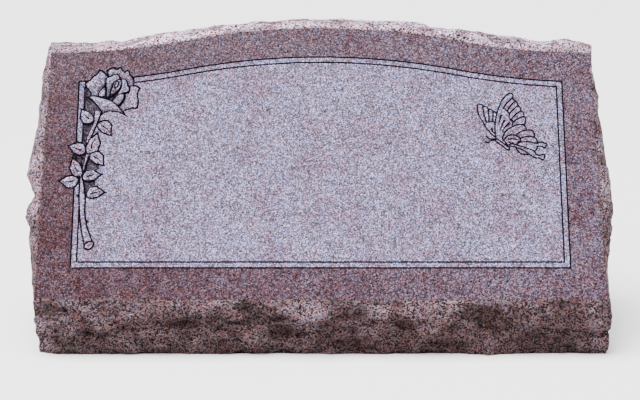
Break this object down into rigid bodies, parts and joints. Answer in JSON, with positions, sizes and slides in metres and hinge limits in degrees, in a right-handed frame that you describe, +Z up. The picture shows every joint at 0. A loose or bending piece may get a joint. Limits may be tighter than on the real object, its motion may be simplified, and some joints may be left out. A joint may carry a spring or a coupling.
{
  "type": "slant headstone",
  "caption": "Granite slant grave marker with a polished slant face, serpentine top, rock-pitched edges, and a rose, butterfly and border cut in the face.",
  "frame": {"origin": "centre of the stone's flat bed, midway between its ends and between the nosing's arris and the sawn back", "axes": "+X along the width, -Y towards the front, +Z up"},
  "size_m": [0.808, 0.2683, 0.4155],
  "materials": {
    "granite": "polished margin, frosted panel and carving, rock-pitched edges"
  },
  "bodies": {
    "root": {"slant_headstone": "granite"}
  },
  "joints": []
}
